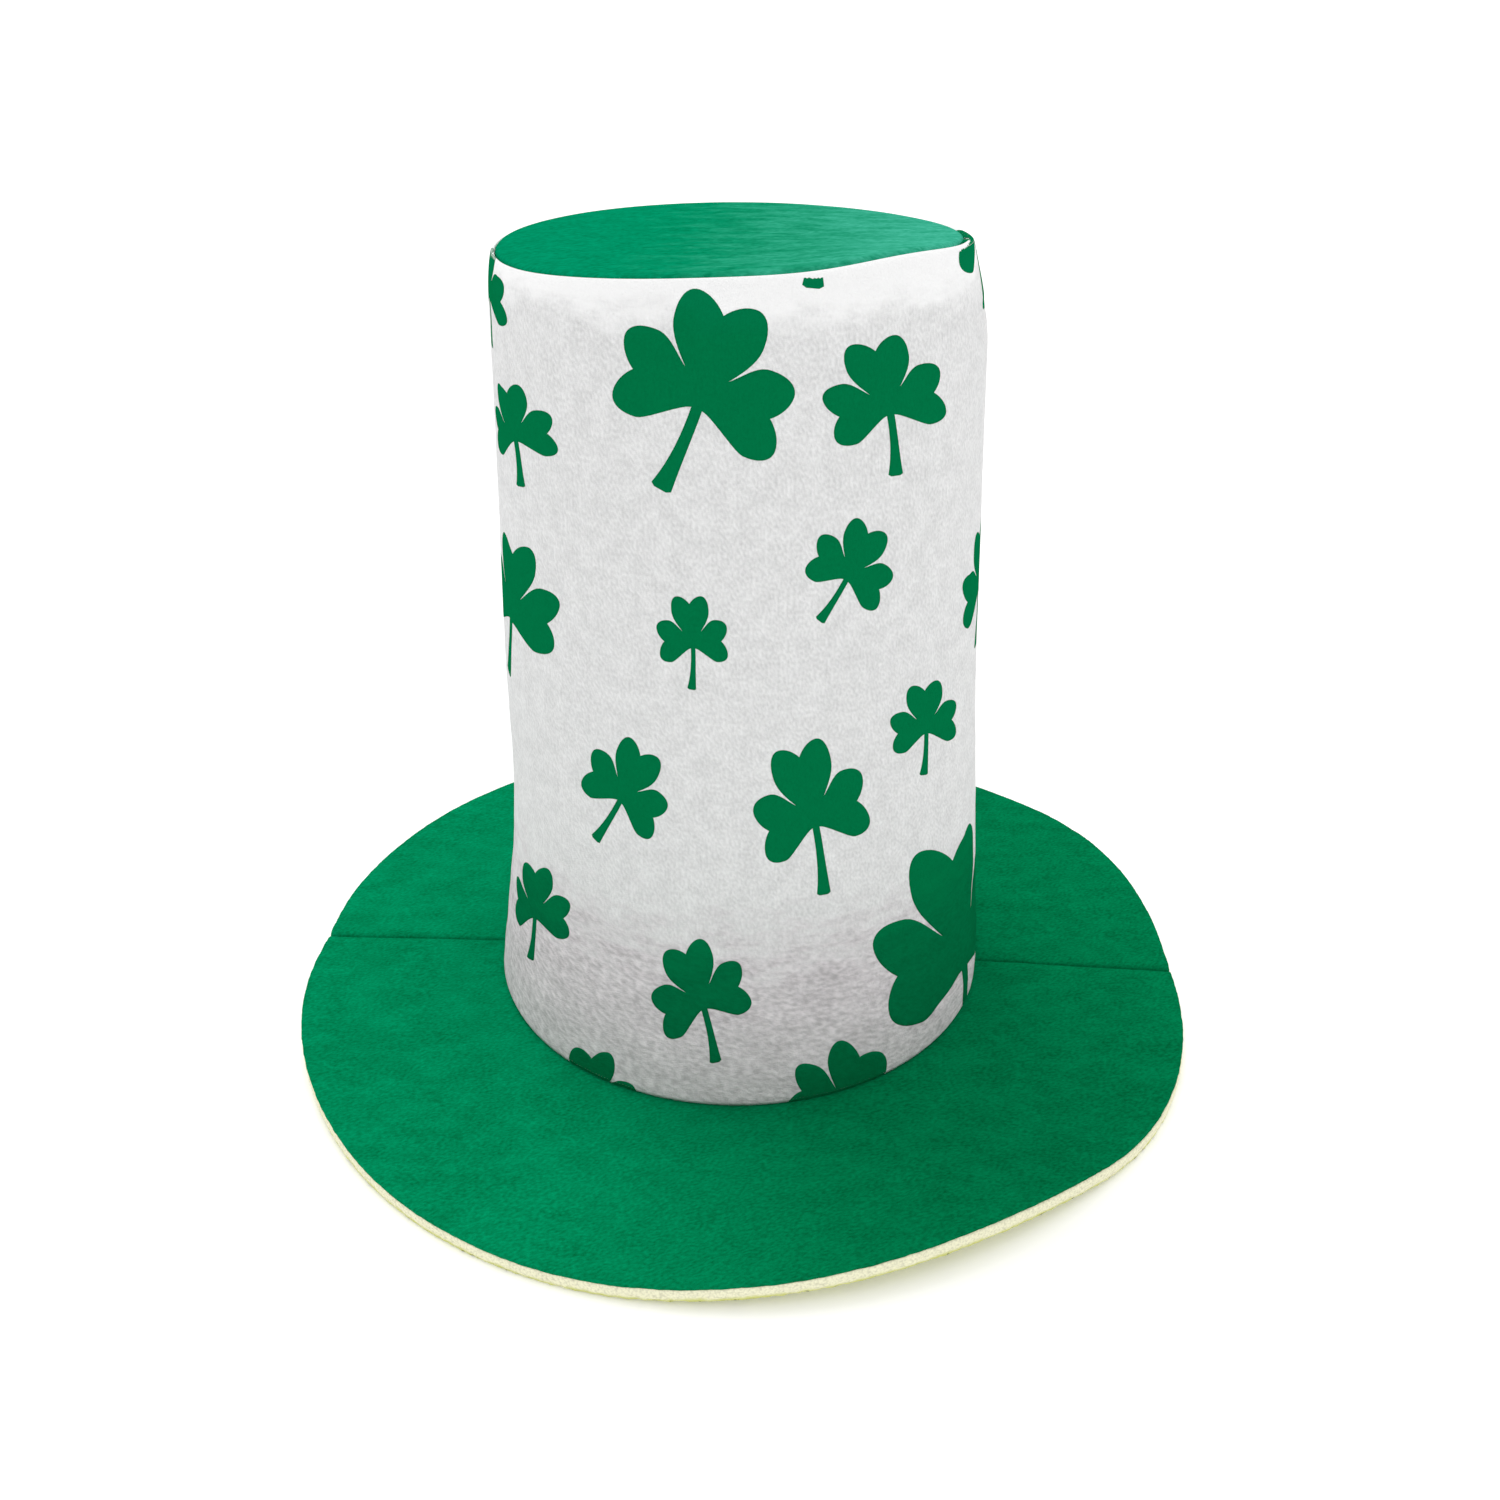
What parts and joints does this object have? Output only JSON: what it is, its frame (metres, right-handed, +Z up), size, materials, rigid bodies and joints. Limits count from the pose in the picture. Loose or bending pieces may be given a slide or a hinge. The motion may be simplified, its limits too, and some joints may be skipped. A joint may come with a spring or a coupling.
{
  "type": "leprechaun costume top hat",
  "caption": "Tall soft costume top hat with a white shamrock-print velour crown, a green lid and a wide green foam-backed brim in two halves; worn on the head.",
  "frame": {"origin": "centre of the hat's footprint, on the surface the brim rests on", "axes": "+Z up through the crown, -Y to the front, +X to the hat's right as seen from the front, along the brim's two seams"},
  "size_m": [0.3549, 0.3593, 0.3036],
  "materials": {
    "white_velour": "short-pile white velour bonded to soft foam, with shamrocks printed in green",
    "green_velour": "short-pile green velour bonded to soft foam",
    "shamrock_print": "matt green ink printed into the velour's pile",
    "cream_foam": "open-cell cream foam, cut edge bare and slightly yellowed"
  },
  "bodies": {
    "root": {"crown_wall": "white_velour", "crown_top": "green_velour", "brim_front_plush": "green_velour", "brim_back_plush": "green_velour", "brim_front_foam": "cream_foam", "brim_back_foam": "cream_foam"}
  },
  "joints": []
}
